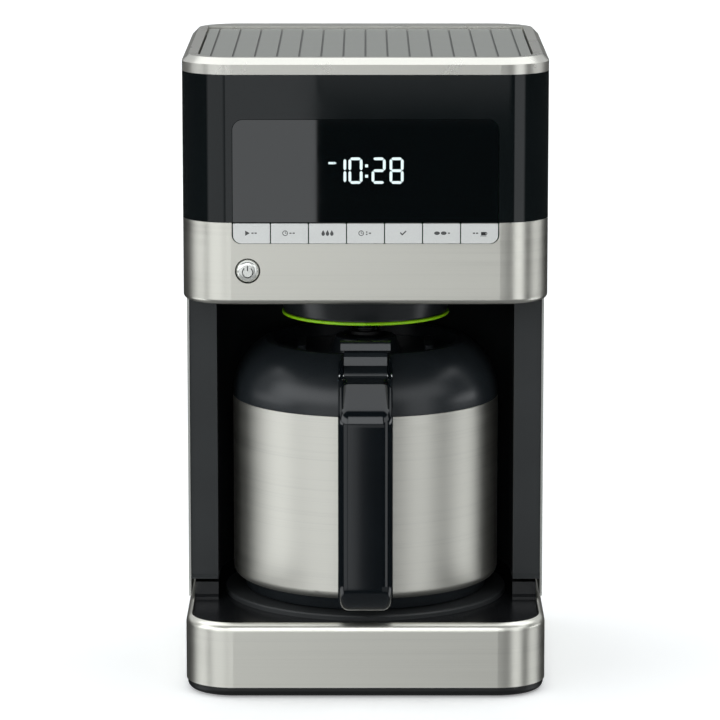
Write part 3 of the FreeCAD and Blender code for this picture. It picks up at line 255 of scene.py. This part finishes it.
# One finish for each material slot of the record, and the nodes that have a finish of their own.
FINISHES = {
    "brushed_steel": steel("band_steel", (233, 231, 221), 0.33, 0.02, 0.35),
    "side_silver": satin("side_silver", (188, 189, 184), 0.36),
    "ring_silver": satin("ring_silver", (216, 214, 206), 0.28),
    "key_silver": satin("key_silver", (226, 227, 224), 0.32, 0.6),
    "gloss_black": gloss("gloss_black", (12, 16, 17), 0.03, 1.43),
    "display_black": gloss("display_glass", (1, 4, 5), 0.012, 1.76),
    "display_module": gloss("display_module", (30, 34, 36), 0.2),
    "case_black": moulded("case_black", (33, 36, 37), 0.42),
    "rest_black": moulded("rest_black", (38, 40, 41), 0.5, 0.03),
    "lid_black": moulded("lid_black", (28, 30, 31), 0.4),
    "basket_black": moulded("basket_black", (30, 33, 35), 0.3, 0.008),
    "carafe_black": moulded("carafe_black", (27, 31, 34), 0.3, 0.006, 1900),
    "green_seal": rubbery("green_seal", (150, 214, 18), 0.38, Subsurface_Weight=0.2,
                          Subsurface_Scale=0.002),
    "rubber": rubbery("rubber", (24, 25, 26), 0.75),
    "hose_silicone": rubbery("hose_silicone", (205, 200, 190), 0.45, Subsurface_Weight=0.3,
                             Subsurface_Scale=0.003),
    "clear_plastic": clear("clear_plastic", (186, 200, 204), 0.12, 0.85),
    "pin_steel": steel("pin_steel", (196, 198, 198), 0.28, 0.05, 0.3),
    "heater_aluminium": satin("heater_aluminium", (170, 172, 172), 0.45, 1.0),
    "board_green": circuit_board("board_green", (22, 74, 44), 0.35),
    "switch_plastic": moulded("switch_plastic", (52, 52, 54), 0.4),
    "terminal_brass": satin("terminal_brass", (196, 168, 92), 0.3, 1.0),
    "sensor_metal": satin("sensor_metal", (186, 184, 176), 0.35, 1.0),
}
SPECIAL = {
    "carafe_shell": steel("carafe_steel", (226, 224, 215), 0.44, 0.03, 0.4),
    "carafe_handle": moulded("handle_black", (10, 14, 17), 0.08, 0.001, 1900).crown(800),
    # painted shade: the lid panel's colour drops to 0.4 of itself below 353.9 mm, on the floors of
    # its grooves
    "lid_panel": satin("ribbed_silver", (160, 161, 155), 0.42, 0.6).paint_shade_below(353.9, 0.4),
    "base_deck": moulded("deck_black", (19, 20, 22), 0.24, 0.004),
    "base_plate": moulded("plate_black", (15, 16, 16), 0.4, 0.01),
    "power_button": satin("button_silver", (232, 233, 228), 0.2, 0.7),
    # painted shade: the drip stop and its spring are coloured darker than their plastic and steel,
    # for the shade they sit in under the brew head
    "drip_stop": moulded("stop_black_painted_shade", (12, 12, 13), 0.6),
    "drip_stop_spring": steel("spring_steel_painted_shade", (70, 72, 74), 0.5, 0.04, 0.2),
    "carafe_liner": steel("liner_steel", (200, 202, 200), 0.3, 0.05, 0.4),
    "mesh_filter": woven("filter_gauze", (186, 186, 182), 0.32),
    "rubber_feet": rubbery("foot_rubber", (30, 31, 32), 0.8),
}
for row in RECORD["subparts"]:
    finish = SPECIAL.get(row["node"]) or FINISHES[row["material_slot"]]
    NODES[row["node"]].material_slots[0].material = finish.material


# ------------------------------------------------------------------ printed marks

def piece(name, body, finish, made):
    """Turn a bmesh into a named piece that rides on a body."""
    mesh = bpy.data.meshes.new(name)
    bmesh.ops.recalc_face_normals(made, faces=made.faces)
    made.to_mesh(mesh)
    made.free()
    thing = bpy.data.objects.new(name, mesh)
    bpy.context.scene.collection.objects.link(thing)
    mesh.materials.append(finish.material)
    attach(thing, body)
    return thing


def prism(made, outline, place, thick):
    """Add a thin plate: outline is (across, up) in millimetres, place maps it into the frame."""
    back = [made.verts.new(place(a, b, 0.0)) for a, b in outline]
    face = [made.verts.new(place(a, b, thick)) for a, b in outline]
    made.faces.new(back)
    made.faces.new(face)
    for i in range(len(outline)):
        j = (i + 1) % len(outline)
        made.faces.new((back[i], back[j], face[j], face[i]))


def facing_front(y_mm, x_mm=0.0, z_mm=0.0):
    """Outline onto a face that looks towards -Y."""
    return lambda a, b, out: Vector((x_mm + a, y_mm - out, z_mm + b)) * MM


def facing_right(x_mm, y_mm=0.0, z_mm=0.0):
    """Outline onto a face that looks towards +X."""
    return lambda a, b, out: Vector((x_mm + out, y_mm + a, z_mm + b)) * MM


def bar(left, right, low, high):
    """An upright rectangle."""
    return [(left, low), (right, low), (right, high), (left, high)]


def arc(x, z, inner, outer, start, end, steps=14):
    """Part of a ring, between two angles in degrees."""
    turns = [math.radians(start + (end - start) * i / steps) for i in range(steps + 1)]
    out = [(x + outer * math.cos(t), z + outer * math.sin(t)) for t in turns]
    back = [(x + inner * math.cos(t), z + inner * math.sin(t)) for t in reversed(turns)]
    return out + back


def disc(x, z, across, up, steps=18):
    """An ellipse with half-axes across and up."""
    turns = [2 * math.pi * i / steps for i in range(steps)]
    return [(x + across * math.cos(t), z + up * math.sin(t)) for t in turns]


# The clock on the display, in millimetres.
DIGIT_WIDTH, DIGIT_HEIGHT, STROKE, SEGMENT_GAP = 7.6, 14.4, 1.5, 0.16
CLOCK_BOTTOM, GLYPH_THICK = 286.9, 0.06
CLOCK = (("1", -18.0), ("0", -9.2), ("2", 3.3), ("8", 13.0))       # figure, left side
COLON = (bar(-0.2, 1.4, 3.4, 5.0), bar(-0.2, 1.4, 9.0, 10.6))
POINTER = (bar(-20.0, -17.2, 297.6, 298.8), [(-17.0, 297.4), (-15.6, 298.2), (-17.0, 299.0)])
SEGMENTS = {"1": "bc", "0": "abcdef", "2": "abged", "8": "abcdefg"}


def segment(x0, z0, x1, z1):
    """A six-sided segment between two points, level or upright."""
    half, gap = STROKE / 2, SEGMENT_GAP
    if z0 == z1:
        return [(x0 + gap, z0), (x0 + half + gap, z0 - half), (x1 - half - gap, z0 - half),
                (x1 - gap, z0), (x1 - half - gap, z0 + half), (x0 + half + gap, z0 + half)]
    return [(x0, z0 + gap), (x0 + half, z0 + half + gap), (x0 + half, z1 - half - gap),
            (x0, z1 - gap), (x0 - half, z1 - half - gap), (x0 - half, z0 + half + gap)]


def digit(figure, left):
    """Outlines of one seven-segment figure whose left side is at left."""
    near, far = left + STROKE / 2, left + DIGIT_WIDTH - STROKE / 2
    low, mid, high = STROKE / 2, DIGIT_HEIGHT / 2, DIGIT_HEIGHT - STROKE / 2
    places = {"a": (near, high, far, high), "g": (near, mid, far, mid), "d": (near, low, far, low),
              "f": (near, mid, near, high), "b": (far, mid, far, high),
              "e": (near, low, near, mid), "c": (far, low, far, mid)}
    return [segment(*places[name]) for name in SEGMENTS[figure]]


lit = Finish("display_light", (206, 222, 222), 0.3, Emission_Color=(*linear(206, 222, 222), 1.0),
             Emission_Strength=0.3)
lit.shade(lit.noise((500, 500, 500)), 0.06)
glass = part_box("display_window")[0].y / MM
clock = bmesh.new()
for outline in [part for figure, left in CLOCK for part in digit(figure, left)] + list(COLON):
    prism(clock, outline, facing_front(glass, 0.0, CLOCK_BOTTOM), GLYPH_THICK)
piece("display_time", "root", lit, clock)
pointer = bmesh.new()
for outline in POINTER:
    prism(pointer, outline, facing_front(glass), GLYPH_THICK)
piece("display_pointer", "root", lit, pointer)

ink = Finish("label_ink", (70, 71, 70), 0.5)
ink.shade(ink.noise((900, 900, 900)), 0.15)
dark_ink = Finish("label_ink_dark", (28, 28, 29), 0.45)
dark_ink.shade(dark_ink.noise((900, 900, 900)), 0.15)

LABEL_SIZE, LABEL_RISE, LABEL_THICK = 1.3, 0.2, 0.03


def shift(outline, across):
    return [(a + across, b) for a, b in outline]


def dashes(start, count):
    """Short dashes in a row, which stand in for a word."""
    return [bar(start + i * 1.3, start + 0.9 + i * 1.3, -0.25, 0.25) for i in range(count)]


def key_marks():
    """One small pictogram for each key, 4 to 6 mm wide, around its own centre."""
    ring = [arc(-1.8, 0, 0.85, 1.15, 0, 180), arc(-1.8, 0, 0.85, 1.15, 180, 360)]
    hands = [bar(-1.92, -1.68, -0.1, 0.75), bar(-1.9, -1.2, -0.14, 0.1)]
    drop = [(0.0, 1.3), (0.55, 0.3), (0.75, -0.3), (0.5, -0.9), (0.0, -1.15), (-0.5, -0.9),
            (-0.75, -0.3), (-0.55, 0.3)]
    cup = [bar(0.6, 2.6, -0.9, 0.5), arc(2.6, -0.15, 0.3, 0.62, -90, 90, 8)]
    return [
        [[(-2.6, -1.1), (-0.7, 0), (-2.6, 1.1)], *dashes(0.0, 2)],
        [*ring, *hands, *dashes(0.0, 2)],
        [shift(drop, -1.8), shift(drop, 0.0), shift(drop, 1.8)],
        [*ring, *hands, bar(0.2, 0.8, -0.75, -0.25), bar(0.2, 0.8, 0.25, 0.75), *dashes(1.4, 1)],
        [[(-1.6, 0.1), (-1.2, 0.45), (-0.5, -0.25), (0.9, 1.1), (1.25, 0.75), (-0.5, -1.0)]],
        [disc(-1.9, 0, 1.2, 0.75), disc(0.9, 0, 1.2, 0.75), *dashes(2.6, 1)],
        [*dashes(-2.8, 2), *cup, bar(0.3, 2.9, -1.3, -1.1)],
    ]


for number, outlines in enumerate(key_marks(), start=1):
    key = f"key_{number}"
    low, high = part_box(key)
    centre = (low + high) / 2 / MM
    place = facing_front(low.y / MM, centre.x, centre.z + LABEL_RISE)
    label = bmesh.new()
    for outline in outlines:
        prism(label, [(a * LABEL_SIZE, b * LABEL_SIZE) for a, b in outline], place, LABEL_THICK)
    piece(f"{key}_mark", key, dark_ink if number == 7 else ink, label)

low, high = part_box("power_button")
centre = (low + high) / 2 / MM
# The button's face is domed, so the icon starts a little behind its crown.
ICON_DEPTH, ICON_THICK = 0.1, 0.13
power = bmesh.new()
for outline in (arc(0, -0.6, 2.5, 3.1, 128, 270), arc(0, -0.6, 2.5, 3.1, 270, 412),
                bar(-0.32, 0.32, 0.2, 3.1)):
    place = facing_front(low.y / MM + ICON_DEPTH, centre.x, centre.z)
    prism(power, outline, place, ICON_THICK)
piece("power_mark", "power_button", ink, power)

low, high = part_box("level_window")
pale_ink = Finish("level_ink", (214, 218, 220), 0.5)
pale_ink.shade(pale_ink.noise((900, 900, 900)), 0.08)
TICKS, TICK_PITCH, TICK_START, TICK_INSET, TICK_HALF, TICK_THICK = 11, 4.8, 6, 1, 0.25, 0.05
ticks = bmesh.new()
for step in range(TICKS):
    length = 4.2 if step % 5 == 0 else 2.4
    level = low.z / MM + TICK_START + step * TICK_PITCH
    rear = high.y / MM - TICK_INSET
    prism(ticks, bar(rear - length, rear, level - TICK_HALF, level + TICK_HALF),
          facing_right(high.x / MM), TICK_THICK)
piece("level_marks", "root", pale_ink, ticks)


# ------------------------------------------------------------------ stage

FLOOR_RADIUS, FLOOR_SIDES = 14.0, 96        # metres, corners
floor_finish = Finish("floor_paper", (250, 250, 249), 0.9, Specular_IOR_Level=0.1,
                      Emission_Color=(1.0, 1.0, 1.0, 1.0), Emission_Strength=0.22)
floor_finish.shade(floor_finish.noise((3, 3, 3)), 0.01)
paper = bmesh.new()
paper.faces.new([paper.verts.new((x, y, 0.0))
                 for x, y in disc(0, 0, FLOOR_RADIUS, FLOOR_RADIUS, FLOOR_SIDES)])
mesh = bpy.data.meshes.new("floor")
paper.to_mesh(mesh)
paper.free()
ground = bpy.data.objects.new("floor", mesh)
bpy.context.scene.collection.objects.link(ground)
ground.visible_glossy = False
mesh.materials.append(floor_finish.material)

# Upright softboxes of the studio: azimuth from the front (-Y) towards +X, elevation, softness
# of the left and right edges, softness of the low and high edges, all in degrees, and power.
SOFTBOXES = [
    ((-16, -0.68), (-30, 4), (4, 0.04), (12, 4), 1.27),      # wall left of the camera
    ((-61, -12), (-30, 4), (8, 10), (12, 4), 1.1),           # its far part
    ((-0.68, 30), (-6.95, 4), (0.04, 12), (0.8, 3), 0.58),   # faint glow right of the camera
    ((2, 74), (-34, -16), (4, 10), (8, 1.5), 0.4),           # low glow below it
    ((-100, 2), (3, 34), (20, 30), (6, 7), 2.9),             # box to the left of the camera
    ((-16, 16), (4, 44), (4, 4), (6, 7), 3.0),               # small box over the camera
    ((16, 84), (12, 38), (14, 14), (4, 7), 1.7),             # dimmer box to its right
    ((33, 64), (-19, 30), (3, 8), (4, 8), 1.5),              # strip on the right
    ((-120, -60), (-5, 6), (30, 12), (3, 4), 3.0),           # bright far left
    ((74, 130), (-5, 6), (14, 24), (3, 4), 3.4),             # bright far right
    ((-124, -60), (-40, -16), (30, 12), (10, 2), 2.0),       # its light lower down
    ((74, 130), (-40, -16), (14, 24), (10, 2), 2.0),         # the same on the right
    ((100, 260), (8, 48), (8, 8), (5, 8), 0.7),              # backdrop
    ((-180, 180), (-91, -34), (0, 0), (0.5, 10), 0.2),       # glow of the worktop
]
# The panel overhead: pitch from the front over the top towards the rear, sideways reach,
# softness of its edges, all in degrees, and power.
OVERHEAD_PITCH, OVERHEAD_SIDE, OVERHEAD_SOFT, OVERHEAD_POWER = (66, 132), 60, 10, 2.0
AMBIENT = 0.03
BACKGROUND = 1.4        # what the camera sees past the floor
LIGHT_TINT = (0.775, 0.8, 0.82)


def light_the_studio():
    """Paint the softboxes and the panel on the world, by direction."""
    world = bpy.data.worlds.new("studio")
    bpy.context.scene.world = world
    world.use_nodes = True
    tree = world.node_tree
    tree.nodes.clear()

    def node(kind, *inputs, **settings):
        made = tree.nodes.new("ShaderNode" + kind)
        for key, value in settings.items():
            setattr(made, key, value)
        for number, value in enumerate(inputs):
            if hasattr(value, "is_output"):
                tree.links.new(value, made.inputs[number])
            else:
                made.inputs[number].default_value = value
        return made.outputs[0]

    def math_node(operation, *inputs):
        return node("Math", *inputs, operation=operation)

    def edge(value, start, end):
        return node("MapRange", value, start, end, 0.0, 1.0, interpolation_type="SMOOTHSTEP")

    def between(value, low, high, soft_low, soft_high):
        return math_node("MULTIPLY", edge(value, low, low + soft_low),
                         math_node("SUBTRACT", 1.0, edge(value, high - soft_high, high)))

    place = tree.nodes.new("ShaderNodeTexCoord").outputs["Generated"]
    parts = tree.nodes.new("ShaderNodeSeparateXYZ")
    tree.links.new(place, parts.inputs[0])
    x, y, z = parts.outputs
    azimuth = math_node("MULTIPLY", math_node("ARCTAN2", x, math_node("MULTIPLY", y, -1.0)),
                        180 / math.pi)
    behind = math_node("MULTIPLY", math_node("LESS_THAN", azimuth, 0.0), 360.0)
    azimuth_round = math_node("ADD", azimuth, behind)
    elevation = math_node("MULTIPLY", math_node("ARCSINE", z), 180 / math.pi)
    total = None
    for (left, right), (low, high), soft_across, soft_upright, power in SOFTBOXES:
        turn = azimuth_round if right > 180 else azimuth
        across = 1.0 if right - left >= 360 else between(turn, left, right, *soft_across)
        upright = between(elevation, low, high, *soft_upright)
        glow = math_node("MULTIPLY", math_node("MULTIPLY", across, upright), power)
        total = glow if total is None else math_node("MAXIMUM", total, glow)
    pitch = math_node("MULTIPLY", math_node("ARCTAN2", z, math_node("MULTIPLY", y, -1.0)),
                      180 / math.pi)
    sideways = math_node("MULTIPLY", math_node("ARCSINE", math_node("ABSOLUTE", x)), 180 / math.pi)
    panel = between(pitch, *OVERHEAD_PITCH, OVERHEAD_SOFT, OVERHEAD_SOFT)
    panel = math_node("MULTIPLY", panel, math_node(
        "SUBTRACT", 1.0, edge(sideways, OVERHEAD_SIDE - OVERHEAD_SOFT, OVERHEAD_SIDE)))
    total = math_node("MAXIMUM", total, math_node("MULTIPLY", panel, OVERHEAD_POWER))
    total = math_node("ADD", total, AMBIENT)
    seen = tree.nodes.new("ShaderNodeLightPath").outputs["Is Camera Ray"]
    level = math_node("ADD", math_node("MULTIPLY", total, math_node("SUBTRACT", 1.0, seen)),
                      math_node("MULTIPLY", seen, BACKGROUND))
    background = tree.nodes.new("ShaderNodeBackground")
    background.inputs["Color"].default_value = (*LIGHT_TINT, 1.0)
    tree.links.new(level, background.inputs["Strength"])
    out = tree.nodes.new("ShaderNodeOutputWorld")
    tree.links.new(background.outputs[0], out.inputs[0])


light_the_studio()

# ------------------------------------------------------------------ camera

camera = bpy.data.cameras.new("camera")
camera.lens, camera.sensor_width = 202.25, 36.0
camera.shift_x = -0.00764
camera.clip_start, camera.clip_end = 0.1, 50.0
viewer = bpy.data.objects.new("camera", camera)
viewer.location = (0.0, -2.2555, 0.582)
viewer.rotation_euler = (math.radians(79.76), 0.0, 0.0)
bpy.context.scene.collection.objects.link(viewer)
bpy.context.scene.camera = viewer
bpy.context.scene.view_settings.view_transform = "Standard"
